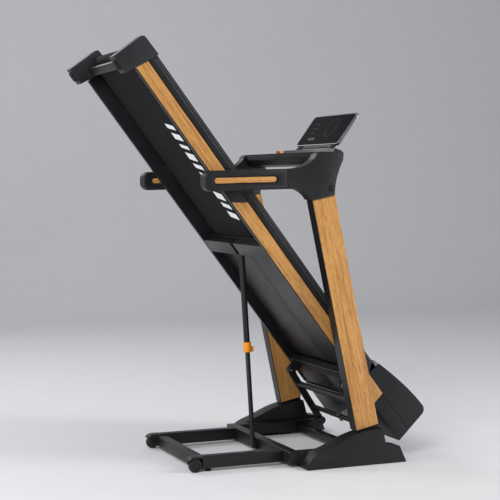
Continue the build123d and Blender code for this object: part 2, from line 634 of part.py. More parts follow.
def deck_cross_tube(s, t, width, height, half, radius=4.0):
    """A rectangular tube across the deck, its section given in the deck's directions."""
    with BuildPart() as tube:
        with BuildSketch(deck_plane(-half)):
            with Locations((s, t)):
                RectangleRounded(width, height, radius)
                RectangleRounded(width - 5, height - 5, radius - 1.5, mode=Mode.SUBTRACT)
        extrude(amount=2 * half)
    return tube.part


REAR_TUBE_S, REAR_TUBE_T = 1226.0, 21.0
REAR_TUBE_WIDE, REAR_TUBE_THICK = 34.0, 18.0
deck_rear_tube = deck_cross_tube(REAR_TUBE_S, REAR_TUBE_T, REAR_TUBE_WIDE, REAR_TUBE_THICK, DECK_SIDE)
lift_mount_tube = deck_cross_tube(-287, 14, 40, 34, DECK_SIDE)
deck_front_tube = deck_cross_tube(-562, 24, 30, 36, DECK_SIDE)

# A folded channel across the deck, slotted in the middle for the folding strut's eye
CHANNEL_REAR, CHANNEL_FRONT = 385.0, 325.0
CHANNEL_LOW, CHANNEL_HIGH = -4.0, 36.0
with BuildPart() as deck_channel:
    with BuildSketch(deck_plane(-DECK_SIDE)):
        outline([(CHANNEL_FRONT, CHANNEL_LOW), (CHANNEL_REAR, CHANNEL_LOW), (CHANNEL_REAR, CHANNEL_HIGH),
                 (CHANNEL_FRONT, CHANNEL_HIGH)])
    extrude(amount=2 * DECK_SIDE)
    with BuildSketch(deck_plane(-DECK_SIDE)):
        outline([(CHANNEL_FRONT + 3, CHANNEL_LOW + 3), (CHANNEL_REAR - 3, CHANNEL_LOW + 3),
                 (CHANNEL_REAR - 3, CHANNEL_HIGH - 3), (CHANNEL_FRONT + 3, CHANNEL_HIGH - 3)])
    extrude(amount=2 * DECK_SIDE, mode=Mode.SUBTRACT)
    for _, sign in SIDES:
        low, high = span(sign, 18, 22)
        with BuildSketch(deck_plane(low)):
            outline([(CHANNEL_FRONT, CHANNEL_LOW), (CHANNEL_REAR, CHANNEL_LOW), (CHANNEL_REAR, CHANNEL_HIGH),
                     (CHANNEL_FRONT, CHANNEL_HIGH)])
        extrude(amount=high - low)
    with BuildSketch(deck_plane(-18)):
        outline([(CHANNEL_FRONT - 1, CHANNEL_LOW - 1), (CHANNEL_REAR + 1, CHANNEL_LOW - 1),
                 (CHANNEL_REAR + 1, CHANNEL_HIGH - 3), (CHANNEL_FRONT - 1, CHANNEL_HIGH - 3)])
    extrude(amount=36, mode=Mode.SUBTRACT)
save(deck_channel, "deck_channel")

BEAM_LOW, BEAM_HIGH = 47.0, 60.0
CUSHION_S = (-180.0, 110.0, 430.0, 720.0, 1010.0)
with BuildPart() as deck_beams:
    for s in CUSHION_S:
        with BuildSketch(deck_plane(-DECK_SIDE)):
            with Locations((s, (BEAM_LOW + BEAM_HIGH) / 2)):
                Rectangle(36, BEAM_HIGH - BEAM_LOW)
        extrude(amount=2 * DECK_SIDE)
save(deck_beams, "deck_beams")

BOARD_LOW, BOARD_HIGH = 66.5, 84.4
with BuildPart() as deck_cushions:
    for s in CUSHION_S:
        for _, sign in SIDES:
            seat = Location((s, BEAM_HIGH, sign * 211), (-90, 0, 0))
            with BuildSketch(Plane(deck_plane(0).location * seat)):
                Circle(14)
            extrude(amount=BOARD_LOW - BEAM_HIGH)

with BuildPart() as running_board:
    with BuildSketch(deck_plane(-BELT_HALF + 4)):
        with Locations((460, (BOARD_LOW + BOARD_HIGH) / 2)):
            Rectangle(1460, BOARD_HIGH - BOARD_LOW)
    extrude(amount=2 * BELT_HALF - 8)
save(running_board, "running_board")


def belt_loop(reach):
    """A round-ended loop around both rollers, this far outside their surface."""
    middle = (REAR_ROLLER_S + FRONT_ROLLER_S) / 2
    length = REAR_ROLLER_S - FRONT_ROLLER_S + 2 * (ROLLER_RADIUS + reach)
    with Locations((middle, ROLLER_T)):
        return SlotOverall(length, 2 * (ROLLER_RADIUS + reach))


with BuildPart() as running_belt:
    with BuildSketch(deck_plane(-BELT_HALF)):
        belt_loop(BELT_GAP + BELT_THICK)
    extrude(amount=2 * BELT_HALF)
    with BuildSketch(deck_plane(-BELT_HALF)):
        belt_loop(BELT_GAP)
    extrude(amount=2 * BELT_HALF, mode=Mode.SUBTRACT)
save(running_belt, "running_belt")

ROLLER_HALF = 259.0
SHAFT_RADIUS = 7.0
PULLEY_RADIUS, MOTOR_PULLEY_RADIUS = 34.0, 13.6
MOTOR_S, MOTOR_T = -470.0, 70.0
for name, s in (("rear_roller", REAR_ROLLER_S), ("front_roller", FRONT_ROLLER_S)):
    centre = deck_point(s, ROLLER_T)
    with BuildPart() as roller:
        with BuildSketch(round_plane(centre.X, -ROLLER_HALF, centre.Z)):
            Circle(ROLLER_RADIUS)
        extrude(amount=2 * ROLLER_HALF)
        if name == "front_roller":
            with BuildSketch(round_plane(centre.X, ROLLER_HALF, centre.Z)):
                Circle(PULLEY_RADIUS)
            extrude(amount=18)
        with BuildSketch(round_plane(centre.X, -ROLLER_HALF - 1, centre.Z)):
            Circle(SHAFT_RADIUS + RUNNING_CLEARANCE)
        extrude(amount=2 * ROLLER_HALF + 40, mode=Mode.SUBTRACT)
    save(roller, name)

with BuildPart() as roller_axles:
    for s in (REAR_ROLLER_S, FRONT_ROLLER_S):
        centre = deck_point(s, ROLLER_T)
        with BuildSketch(round_plane(centre.X, -DECK_SIDE, centre.Z)):
            Circle(SHAFT_RADIUS)
        extrude(amount=2 * DECK_SIDE)

# Two long bolts pull the rear roller's axle back to tension the belt
with BuildPart() as tension_bolts:
    for _, sign in SIDES:
        start = deck_point(REAR_ROLLER_S + SHAFT_RADIUS, ROLLER_T, sign * 285)
        axis = Plane(origin=start, x_dir=(0, 1, 0), z_dir=deck_plane(0).x_dir)
        with BuildSketch(axis):
            Circle(4)
        extrude(amount=22)
        with BuildSketch(axis.offset(22)):
            RegularPolygon(7.5, 6)
        extrude(amount=6)
join("roller_axles", roller_axles.part, tension_bolts.part)

# --- deck: rear end caps --------------------------------------------------------------------------
CAP_IN, CAP_OUT, CAP_WALL = 262.0, 321.0, 3.0
with BuildPart() as end_caps:
    for _, sign in SIDES:
        low, high = span(sign, CAP_IN, CAP_OUT)
        inner_low, inner_high = span(sign, CAP_IN + CAP_WALL, CAP_OUT - CAP_WALL)
        with BuildSketch(deck_plane(low)):
            with BuildLine():
                Polyline((1270, 95), (1196, 98), (1192, 92), (1214, -45), (1286, -45), (1284, 80))
                ThreePointArc((1284, 80), (1280, 91), (1270, 95))
            make_face()
        extrude(amount=high - low)
        with BuildSketch(deck_plane(inner_low)):
            outline([(1185, -1), (1280, -1), (1279, 76), (1268, 90.5), (1185, 93.5)])
        extrude(amount=inner_high - inner_low, mode=Mode.SUBTRACT)
        well_low, well_high = span(sign, CAP_IN + 4, CAP_OUT - 4)
        with BuildSketch(deck_plane(well_low)):
            outline([(1219, -41), (1281, -41), (1280, 2), (1212, 2)])
        extrude(amount=well_high - well_low, mode=Mode.SUBTRACT)
        # Openings in the inner wall for the roller's axle and for the rear cross tube
        wall_low, wall_high = span(sign, CAP_IN - 1, CAP_IN + CAP_WALL + 1)
        with BuildSketch(deck_plane(wall_low)):
            with Locations((REAR_ROLLER_S, ROLLER_T)):
                Circle(SHAFT_RADIUS + RUNNING_CLEARANCE)
            with Locations((REAR_TUBE_S, REAR_TUBE_T)):
                Rectangle(REAR_TUBE_WIDE + 1, REAR_TUBE_THICK + 1)
        extrude(amount=wall_high - wall_low, mode=Mode.SUBTRACT)
save(end_caps, "end_caps")

with BuildPart() as rear_feet:
    for _, sign in SIDES:
        low, high = span(sign, 280, 308)
        with BuildSketch(deck_plane(low)):
            outline([(1228, -45), (1274, -45), (1268, -53), (1234, -53)])
        extrude(amount=high - low)
join("deck_rubbers", deck_cushions.part, rear_feet.part)

# --- deck: front end under the hood ---------------------------------------------------------------
HOOD_HALF = 312.0
HOOD_SEAM = 52.0


def hood_outline(inset):
    """The hood's side: a lip at the rear, a long rising top and a rounded nose."""
    bottom = HOOD_SEAM if inset == 0 else HOOD_SEAM - 5
    rear = -294 if inset == 0 else -289
    with BuildLine() as edge:
        Line((rear, bottom), (rear, 112 - inset))
        Spline((rear, 112 - inset), (-400, 140 - inset), (-554, 162 - inset),
               tangents=((-1, 0.3), (-1, 0.04)))
        ThreePointArc((-554, 162 - inset), (-574 + inset * 0.7, 155 - inset * 0.7), (-583 + inset, 137))
        Line((-583 + inset, 137), (-593 + inset, bottom))
        Line((-593 + inset, bottom), (rear, bottom))
    make_face(edge.edges())


with BuildPart() as hood:
    with BuildSketch(deck_plane(-HOOD_HALF)):
        hood_outline(0)
    extrude(amount=2 * HOOD_HALF)
    with BuildSketch(deck_plane(-HOOD_HALF + 3)):
        hood_outline(3)
    extrude(amount=2 * HOOD_HALF - 6, mode=Mode.SUBTRACT)
save(hood, "hood")

with BuildPart() as hood_trim:
    with BuildSketch(deck_plane(-HOOD_HALF)):
        outline([(-262, 93), (-293, 93), (-293, 110), (-268, 102)])
    extrude(amount=2 * HOOD_HALF)
save(hood_trim, "hood_trim")

with BuildPart() as front_pan:
    with BuildSketch(deck_plane(-HOOD_HALF)):
        outline([(-404, -4), (-599, -4), (-593.5, HOOD_SEAM - 1), (-404, HOOD_SEAM - 1)])
    extrude(amount=2 * HOOD_HALF)
    with BuildSketch(deck_plane(-HOOD_HALF + 3)):
        outline([(-400, -1), (-595.5, -1), (-590, HOOD_SEAM), (-400, HOOD_SEAM)])
    extrude(amount=2 * HOOD_HALF - 6, mode=Mode.SUBTRACT)
    # The way down for the lift actuator's rod
    with BuildSketch(deck_plane(ACTUATOR_Y - 22)):
        outline([(ACTUATOR_S - 24, -6), (ACTUATOR_S + 24, -6), (ACTUATOR_S + 24, 4), (ACTUATOR_S - 24, 4)])
    extrude(amount=44, mode=Mode.SUBTRACT)

PAN_LOW, PAN_HIGH = 35.0, 38.0
with BuildPart() as belly_pans:
    for _, sign in SIDES:
        low, high = span(sign, 1.0, DECK_SIDE - 1)
        with BuildSketch(deck_plane(low)):
            outline([(-264, PAN_LOW), (318, PAN_LOW), (318, PAN_HIGH), (-264, PAN_HIGH)])
            outline([(-403, 0), (-308, 0), (-308, 3), (-403, 3)])
        extrude(amount=high - low)
join("deck_pans", front_pan.part, belly_pans.part)

# --- drive ----------------------------------------------------------------------------------------
motor_centre = deck_point(MOTOR_S, MOTOR_T)
MOTOR_RADIUS, MOTOR_LOW, MOTOR_HIGH = 42.0, 40.0, 232.0
with BuildPart() as drive_motor:
    with BuildSketch(round_plane(motor_centre.X, MOTOR_LOW, motor_centre.Z)):
        Circle(MOTOR_RADIUS)
    extrude(amount=MOTOR_HIGH - MOTOR_LOW)
    fillet(drive_motor.edges().filter_by(GeomType.CIRCLE), 5)
    with BuildSketch(deck_plane(80)):
        outline([(-500, 10), (-440, 10), (-440, 50), (-500, 50)])
    extrude(amount=110)
    with BuildSketch(round_plane(motor_centre.X, MOTOR_LOW - 1, motor_centre.Z)):
        Circle(SHAFT_RADIUS + RUNNING_CLEARANCE)
    extrude(amount=MOTOR_HIGH - MOTOR_LOW + 2, mode=Mode.SUBTRACT)

with BuildPart() as motor_cradle:
    with BuildSketch(deck_plane(60)):
        outline([(-545, 6), (-410, 6), (-410, 10), (-545, 10)])
    extrude(amount=150)
    for s in (-545, -418):
        with BuildSketch(deck_plane(60)):
            outline([(s, -1), (s + 8, -1), (s + 8, 6), (s, 6)])
        extrude(amount=150)
join("drive_motor", drive_motor.part, motor_cradle.part)

with BuildPart() as motor_rotor:
    with BuildSketch(round_plane(motor_centre.X, 20, motor_centre.Z)):
        Circle(SHAFT_RADIUS)
    extrude(amount=258)
    with BuildSketch(round_plane(motor_centre.X, 236, motor_centre.Z)):
        Circle(40)
    extrude(amount=16)
    with BuildSketch(round_plane(motor_centre.X, ROLLER_HALF, motor_centre.Z)):
        Circle(MOTOR_PULLEY_RADIUS)
    extrude(amount=18)
save(motor_rotor, "motor_rotor")


def drive_loop(reach):
    """A loop round the two pulleys, this far outside their rims."""
    with Locations((FRONT_ROLLER_S, ROLLER_T)):
        Circle(PULLEY_RADIUS + reach)
    with Locations((MOTOR_S, MOTOR_T)):
        Circle(MOTOR_PULLEY_RADIUS + reach)
    make_hull()


with BuildPart() as drive_belt:
    with BuildSketch(deck_plane(ROLLER_HALF + 2)):
        drive_loop(2.9)
    extrude(amount=14)
    with BuildSketch(deck_plane(ROLLER_HALF + 2)):
        drive_loop(0.4)
    extrude(amount=14, mode=Mode.SUBTRACT)
save(drive_belt, "drive_belt")

with BuildPart() as motor_controller:
    with BuildSketch(deck_plane(-250)):
        outline([(-530, -1), (-430, -1), (-430, 3), (-530, 3)])
    extrude(amount=180)
    for fin in range(9):
        with BuildSketch(deck_plane(-246 + 19 * fin)):
            outline([(-525, 3), (-480, 3), (-480, 40), (-525, 40)])
        extrude(amount=6)
    with BuildSketch(deck_plane(-200)):
        outline([(-470, 3), (-440, 3), (-440, 28), (-470, 28)])
    extrude(amount=60)
save(motor_controller, "motor_controller")

# --- lift frame between the deck and the base -----------------------------------------------------
pivot = deck_point(PIVOT_S, PIVOT_T)
lift_top = deck_point(LIFT_TOP_S, LIFT_TOP_T)
PIN_RADIUS = 8.0
with BuildPart() as lift_arms:
    for _, sign in SIDES:
        low, high = span(sign, ARM_IN, ARM_OUT)
        with BuildSketch(deck_plane(low)):
            with Locations((PIVOT_S, PIVOT_T), (LIFT_TOP_S, LIFT_TOP_T)):
                Circle(ARM_HALF)
            make_hull()
            with Locations((PIVOT_S, PIVOT_T)):
                Circle(PIN_RADIUS + RUNNING_CLEARANCE, mode=Mode.SUBTRACT)
            with Locations((LIFT_TOP_S, LIFT_TOP_T)):
                Circle(6, mode=Mode.SUBTRACT)
        extrude(amount=high - low)

save(lift_arms, "lift_arms")

lift_slope = (LIFT_TOP_T - PIVOT_T) / (LIFT_TOP_S - PIVOT_S)
with BuildPart() as lift_bars:
    for s, radius in ((-360.0, 12.0), (ACTUATOR_S, LIFT_BAR_RADIUS)):
        centre = deck_point(s, LIFT_TOP_T + (s - LIFT_TOP_S) * lift_slope)
        with BuildSketch(round_plane(centre.X, -ARM_IN, centre.Z)):
            Circle(radius)
            Circle(radius - 2.5, mode=Mode.SUBTRACT)
        extrude(amount=2 * ARM_IN)
save(lift_bars, "lift_bars")

with BuildPart() as lift_hangers:
    for _, sign in SIDES:
        for inner in (ARM_IN - 7, ARM_OUT + 2):
            low, high = span(sign, inner, inner + 5)
            with BuildSketch(deck_plane(low)):
                with Locations((LIFT_TOP_S, LIFT_TOP_T)):
                    Circle(14)
                with Locations((LIFT_TOP_S, -6)):
                    Rectangle(38, 6)
                make_hull()
                with Locations((LIFT_TOP_S, LIFT_TOP_T)):
                    Circle(6, mode=Mode.SUBTRACT)
            extrude(amount=high - low)
join("deck_cross_tubes", deck_rear_tube, lift_mount_tube, deck_front_tube, lift_hangers.part)

with BuildPart() as lift_bolts:
    for _, sign in SIDES:
        low, high = span(sign, ARM_IN - 9, ARM_OUT + 7)
        with BuildSketch(round_plane(lift_top.X, low, lift_top.Z)):
            Circle(6)
        extrude(amount=high - low)
        head_low, head_high = span(sign, ARM_OUT + 7, ARM_OUT + 12)
        with BuildSketch(round_plane(lift_top.X, head_low, lift_top.Z)):
            RegularPolygon(10, 6)
        extrude(amount=head_high - head_low)

# Plates on the front cross tube hold the fold pivot's pins
with BuildPart() as pivot_brackets:
    for _, sign in SIDES:
        for inner in (ARM_IN - 8, ARM_OUT + 2):
            low, high = span(sign, inner, inner + 6)
            with BuildSketch(upright_plane(high)):
                with Locations((pivot.X, pivot.Z)):
                    Circle(17)
                with Locations((FRONT_TUBE_X + 6, 27)):
                    Rectangle(50, 28)
                make_hull()
                with Locations((pivot.X, pivot.Z)):
                    Circle(PIN_RADIUS, mode=Mode.SUBTRACT)
                with Locations((FRONT_TUBE_X - 5, FRONT_TUBE_HIGH / 2)):
                    Rectangle(50, FRONT_TUBE_HIGH, mode=Mode.SUBTRACT)
            extrude(amount=high - low)

with BuildPart() as pivot_pins:
    for _, sign in SIDES:
        low, high = span(sign, ARM_IN - 9, ARM_OUT + 8)
        with BuildSketch(round_plane(pivot.X, low, pivot.Z)):
            Circle(PIN_RADIUS)
        extrude(amount=high - low)
        head_low, head_high = span(sign, ARM_OUT + 8, ARM_OUT + 13)
        with BuildSketch(round_plane(pivot.X, head_low, pivot.Z)):
            RegularPolygon(11, 6)
        extrude(amount=head_high - head_low)
join("fold_pivot", pivot_brackets.part, pivot_pins.part)

# The lift actuator: a geared screw in the deck whose rod ends in a yoke round the lower lift bar
bar_t = LIFT_TOP_T + (ACTUATOR_S - LIFT_TOP_S) * lift_slope
bar_reach = hypot(ACTUATOR_S - LIFT_TOP_S, bar_t - LIFT_TOP_T)
lean_s = (bar_t - LIFT_TOP_T) / bar_reach
lean_t = (LIFT_TOP_S - ACTUATOR_S) / bar_reach
bar_point = deck_point(ACTUATOR_S, bar_t, ACTUATOR_Y)
rod_tip = deck_point(ACTUATOR_S + lean_s, bar_t + lean_t, ACTUATOR_Y)
rod_dir = rod_tip - bar_point


def rod_plane(along):
    """A plane square to the actuator's rod, this far above the lift bar's middle."""
    return Plane(origin=bar_point + rod_dir * along, x_dir=(0, 1, 0), z_dir=rod_dir)


ROD_RADIUS = 9.0
with BuildPart() as actuator_rod:
    with BuildSketch(rod_plane(-9)):
        Rectangle(22, 36)
    extrude(amount=32)
    with BuildSketch(rod_plane(23)):
        Circle(ROD_RADIUS)
    extrude(amount=75)
    with BuildSketch(round_plane(bar_point.X, bar_point.Y - 12, bar_point.Z)):
        Circle(LIFT_BAR_RADIUS + 1.6)
    extrude(amount=24, mode=Mode.SUBTRACT)
    with BuildSketch(rod_plane(-10)):
        Rectangle(24, 2 * LIFT_BAR_RADIUS + 3.2)
    extrude(amount=10, mode=Mode.SUBTRACT)
save(actuator_rod, "actuator_rod")

with BuildPart() as actuator_body:
    with BuildSketch(rod_plane(72)):
        Circle(18)
    extrude(amount=130)
    with BuildSketch(rod_plane(110)):
        with Locations((-32, 0)):
            RectangleRounded(70, 50, 8)
    extrude(amount=26)
    with BuildSketch(rod_plane(136)):
        with Locations((-45, 0)):
            Circle(22)
    extrude(amount=60)
    with BuildSketch(rod_plane(71)):
        Circle(ROD_RADIUS + RUNNING_CLEARANCE)
    extrude(amount=60, mode=Mode.SUBTRACT)
save(actuator_body, "actuator_body")

# --- folding strut --------------------------------------------------------------------------------
strut_top = deck_point(STRUT_TOP_S, STRUT_TOP_T)
strut_dx, strut_dz = strut_top.X - STRUT_FOOT_X, strut_top.Z - STRUT_FOOT_Z
strut_length = hypot(strut_dx, strut_dz)
strut_dir = (strut_dx / strut_length, 0, strut_dz / strut_length)


def strut_plane(along):
    """A plane square to the strut, this far up from its foot's pin."""
    origin = (STRUT_FOOT_X + strut_dir[0] * along, 0, STRUT_FOOT_Z + strut_dir[2] * along)
    return Plane(origin=origin, x_dir=(0, 1, 0), z_dir=strut_dir)


foot_face = MIDDLE_TUBE_X - MIDDLE_TUBE_WIDTH / 2
with BuildPart() as strut_foot_bracket:
    for _, sign in SIDES:
        low, high = span(sign, 12, 16)
        with BuildSketch(upright_plane(high)):
            with Locations((STRUT_FOOT_X, STRUT_FOOT_Z)):
                Circle(13)
            with Locations((foot_face - 1, 36)):
                Rectangle(2, 42)
            make_hull()
            with Locations((STRUT_FOOT_X, STRUT_FOOT_Z)):
                Circle(5, mode=Mode.SUBTRACT)
        extrude(amount=high - low)

with BuildPart() as strut_foot_bolt:
    with BuildSketch(round_plane(STRUT_FOOT_X, -16, STRUT_FOOT_Z)):
        Circle(5)
    extrude(amount=32)
    for low in (-21, 16):
        with BuildSketch(round_plane(STRUT_FOOT_X, low, STRUT_FOOT_Z)):
            RegularPolygon(8.5, 6)
        extrude(amount=5)
join("strut_foot", strut_foot_bracket.part, strut_foot_bolt.part)

INSERTION = 45.0          # how far the lower tube is inside the upper one when the deck is stored
with BuildPart() as strut_lower:
    with BuildSketch(strut_plane(9)):
        Circle(STRUT_LOWER_RADIUS)
    extrude(amount=STRUT_SLEEVE_AT + INSERTION - 9)
    with BuildSketch(round_plane(STRUT_FOOT_X, -11, STRUT_FOOT_Z)):
        Circle(12)
    extrude(amount=22)
    with BuildSketch(round_plane(STRUT_FOOT_X, -12, STRUT_FOOT_Z)):
        Circle(5 + RUNNING_CLEARANCE)
    extrude(amount=24, mode=Mode.SUBTRACT)
save(strut_lower, "strut_lower")

SLEEVE_LENGTH = 40.0
with BuildPart() as strut_upper:
    with BuildSketch(strut_plane(STRUT_SLEEVE_AT + 2)):
        Circle(STRUT_UPPER_RADIUS)
    extrude(amount=strut_length - STRUT_SLEEVE_AT - 6)
    with BuildSketch(round_plane(strut_top.X, -15, strut_top.Z)):
        Circle(10)
    extrude(amount=30)
    with BuildSketch(strut_plane(STRUT_SLEEVE_AT)):
        Circle(STRUT_LOWER_RADIUS + RUNNING_CLEARANCE)
    extrude(amount=strut_length - STRUT_SLEEVE_AT - 20, mode=Mode.SUBTRACT)
save(strut_upper, "strut_upper")

SLEEVE_RADIUS = 16.5
with BuildPart() as strut_lock_sleeve:
    with BuildSketch(strut_plane(STRUT_SLEEVE_AT + 4)):
        Circle(SLEEVE_RADIUS)
    extrude(amount=SLEEVE_LENGTH)
    with BuildSketch(strut_plane(STRUT_SLEEVE_AT + 4)):
        with Locations((0, -SLEEVE_RADIUS + 2)):
            RectangleRounded(16, 22, 4)
    extrude(amount=20)
    with BuildSketch(strut_plane(STRUT_SLEEVE_AT + 3)):
        Circle(STRUT_UPPER_RADIUS + RUNNING_CLEARANCE)
    extrude(amount=SLEEVE_LENGTH + 2, mode=Mode.SUBTRACT)
save(strut_lock_sleeve, "strut_lock_sleeve")

with BuildPart() as channel_bolts:
    for _, sign in SIDES:
        low, high = span(sign, 22, 27)
        with BuildSketch(round_plane(strut_top.X, low, strut_top.Z)):
            RegularPolygon(8.5, 6)
        extrude(amount=high - low)
join("deck_bolts", lift_bolts.part, channel_bolts.part)

# --- the fold's end and the strut's travel, worked out for the joints -----------------------------
foot_reach = deck_point(1268, -53) - pivot
foot_angle = degrees(atan2(foot_reach.Z, -foot_reach.X))
fold_travel = foot_angle + degrees(asin(pivot.Z / hypot(foot_reach.X, foot_reach.Z)))
print("pivot", pivot, "strut foot", STRUT_FOOT_X, STRUT_FOOT_Z, "strut top", strut_top)
print("fold travel", fold_travel, "strut length", strut_length)
arm = strut_top - pivot
lowered = radians(fold_travel - 0.3)
down = Vector(arm.X * cos(lowered) - arm.Z * sin(lowered), 0, arm.X * sin(lowered) + arm.Z * cos(lowered))
foot_to_top = pivot + down - Vector(STRUT_FOOT_X, 0, STRUT_FOOT_Z)
swing = degrees(atan2(foot_to_top.Z, foot_to_top.X) - atan2(strut_dz, strut_dx))
print("strut swing", swing, "strut travel", hypot(foot_to_top.X, foot_to_top.Z) - strut_length)
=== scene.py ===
# %% [markdown]
# # A folding treadmill, stored upright
#
# The machine is a steel frame dressed in black plastic and light oak. Its running deck is folded up between two
# leaning uprights. The parts with real sizes come in as a fixed frame, already in metres, and this lesson gives
# them soft edges and finishes and adds the small pieces that a frame doesn't carry.

import json
from math import atan2, cos, pi, radians, sin

import bmesh
import bpy
import numpy as np
from mathutils import Matrix


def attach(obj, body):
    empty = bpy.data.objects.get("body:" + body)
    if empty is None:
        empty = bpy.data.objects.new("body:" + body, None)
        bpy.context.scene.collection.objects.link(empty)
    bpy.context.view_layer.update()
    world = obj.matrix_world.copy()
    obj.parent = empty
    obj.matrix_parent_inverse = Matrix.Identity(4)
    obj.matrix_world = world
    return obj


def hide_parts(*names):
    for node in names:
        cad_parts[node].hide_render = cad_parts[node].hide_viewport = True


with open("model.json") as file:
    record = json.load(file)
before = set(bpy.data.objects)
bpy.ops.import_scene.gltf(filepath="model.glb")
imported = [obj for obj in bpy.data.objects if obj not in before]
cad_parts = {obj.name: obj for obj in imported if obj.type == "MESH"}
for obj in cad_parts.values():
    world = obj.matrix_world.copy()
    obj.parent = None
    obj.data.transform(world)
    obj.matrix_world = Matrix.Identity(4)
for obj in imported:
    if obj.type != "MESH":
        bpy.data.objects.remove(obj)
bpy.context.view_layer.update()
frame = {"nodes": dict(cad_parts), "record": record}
body_of_node = {n: b for b, names in frame["record"]["behaviour"]["bodies"].items() for n in names}
slot_of_node = {row["node"]: row["material_slot"] for row in frame["record"]["subparts"]}

# %% [markdown]
# ## The camera
#
# A camera is a place and three directions: right, up and back. Writing the directions straight into its matrix
# keeps the view exact, where aiming it at a target would leave its roll to chance. The lens is long, so the
# machine's parallel edges stay almost parallel.

# %% Place the camera
HEEL_X = 0.304435
CAMERA_PLACE = np.array([-2.3357 + HEEL_X, -4.8593, 1.0956])
CAMERA_RIGHT = np.array([0.9213, -0.3888, 0.0])
CAMERA_UP = np.array([0.0202, 0.0479, 0.9986])

camera = bpy.data.objects.new("camera", bpy.data.cameras.new("camera"))
camera.data.sensor_width = 36.0
camera.data.lens = 94.8
turn = np.eye(4)
turn[:3, 0] = CAMERA_RIGHT
turn[:3, 1] = CAMERA_UP
turn[:3, 2] = np.cross(CAMERA_RIGHT, CAMERA_UP)
turn[:3, 3] = CAMERA_PLACE
camera.matrix_world = Matrix(turn.tolist())
bpy.context.scene.collection.objects.link(camera)
bpy.context.scene.camera = camera
print("camera", CAMERA_PLACE.round(3))

# %% [markdown]
# ## Floor and light
#
# Dark satin surfaces show their shape only through what they reflect, so the lamps are large and close to the
# sides: each leaves a broad soft streak along an edge. A pale floor that curves up behind works like a studio
# sweep. It is one profile carried sideways, with a quarter circle between its flat and its wall.


# %% Put numbers into a mesh
def surface(name, points, faces):
    """A mesh object from an array of points and an array or a list of faces, shaded smooth."""
    mesh = bpy.data.meshes.new(name)
    mesh.from_pydata(np.asarray(points, float).tolist(), [], [list(map(int, f)) for f in faces])
    mesh.validate()
    mesh.shade_smooth()
    piece = bpy.data.objects.new(name, mesh)
    bpy.context.scene.collection.objects.link(piece)
    return piece


def grid_faces(rows, columns, wrap=False):
    """Quads between neighbouring rows and columns of a grid, and round the seam too if it wraps."""
    r, c = np.meshgrid(np.arange(rows - 1), np.arange(columns if wrap else columns - 1), indexing="ij")
    n = (c + 1) % columns
    quads = np.stack([r * columns + c, r * columns + n, (r + 1) * columns + n, (r + 1) * columns + c], -1)
    return quads.reshape(-1, 4)


# %% Build the sweep
SWEEP_RADIUS, SWEEP_BACK, SWEEP_FRONT, SWEEP_TOP = 2.0, 5.0, -9.0, 7.0
arc = np.linspace(0.0, pi / 2, 24)
sweep_y = np.concatenate([[SWEEP_FRONT], SWEEP_BACK + SWEEP_RADIUS * np.sin(arc), [SWEEP_BACK + SWEEP_RADIUS]])
sweep_z = np.concatenate([[0.0], SWEEP_RADIUS * (1 - np.cos(arc)), [SWEEP_TOP]])
sweep_x = np.array([-14.0, 14.0])
grid_x, grid_y = np.meshgrid(sweep_x, sweep_y)
sweep_points = np.stack([grid_x, grid_y, np.repeat(sweep_z[:, None], 2, 1)], -1).reshape(-1, 3)
sweep = surface("studio_sweep", sweep_points, grid_faces(len(sweep_y), 2))

LAMPS = (
    ("key_lamp", (-3.2, -3.4, 3.4), (2.4, 2.4), 130.0),
    ("side_lamp", (3.4, -2.2, 2.2), (1.0, 2.8), 95.0),
    ("back_lamp", (-1.8, 3.0, 3.2), (3.0, 1.4), 55.0),
    ("low_lamp", (-3.6, -0.6, 0.9), (1.6, 1.2), 36.0),
)
for lamp_name, place, size, watts in LAMPS:
    lamp = bpy.data.lights.new(lamp_name, "AREA")
    lamp.shape = "RECTANGLE"
    lamp.size, lamp.size_y = size
    lamp.energy = watts
    holder = bpy.data.objects.new(lamp_name, lamp)
    back = np.array(place) - np.array([0.0, 0.0, 0.8])
    back /= np.linalg.norm(back)
    side = np.cross([0.0, 0.0, 1.0], back)
    side /= np.linalg.norm(side)
    pose = np.eye(4)
    pose[:3, 0], pose[:3, 1], pose[:3, 2], pose[:3, 3] = side, np.cross(back, side), back, place
    holder.matrix_world = Matrix(pose.tolist())
    bpy.context.scene.collection.objects.link(holder)

world = bpy.data.worlds.new("studio")
world.use_nodes = True
world.node_tree.nodes["Background"].inputs["Color"].default_value = (0.93, 0.95, 1.0, 1.0)
world.node_tree.nodes["Background"].inputs["Strength"].default_value = 0.38
bpy.context.scene.world = world
bpy.context.scene.view_settings.view_transform = "Standard"
print("lamps", len(LAMPS))

# %% [markdown]
# ## Finishes as small functions
#
# Each finish starts from one shader and adds two things: a fine bump for what a fingertip feels, and a slow
# variation for what handling leaves. Both read Object coordinates, so the pattern is a real size in metres on
# every piece and stays put when the piece moves.


# %% A material and its helpers
def new_finish(name, colour, rough, metal=0.0, coat=0.0, sheen=0.36):
    """A material with one principled shader whose even values sit on its own sockets."""
    finish = bpy.data.materials.new(name)
    finish.use_nodes = True
    shader = finish.node_tree.nodes["Principled BSDF"]
    shader.inputs["Base Color"].default_value = (*colour, 1.0)
    shader.inputs["Roughness"].default_value = rough
    shader.inputs["Metallic"].default_value = metal
    shader.inputs["Coat Weight"].default_value = coat
    shader.inputs["Coat Roughness"].default_value = 0.2
    shader.inputs["Specular IOR Level"].default_value = sheen
    return finish, shader


def add(finish, kind, **values):
    """A node of this kind in a material, with its plain settings and its sockets set by name."""
    node = finish.node_tree.nodes.new(kind)
    for key, value in values.items():
        if hasattr(node, key):
            setattr(node, key, value)
        else:
            node.inputs[key.replace("_", " ")].default_value = value
    return node


def wire(finish, source, output, target, socket):
    """A link from one node's output to another node's input."""
    finish.node_tree.links.new(source.outputs[output], target.inputs[socket])


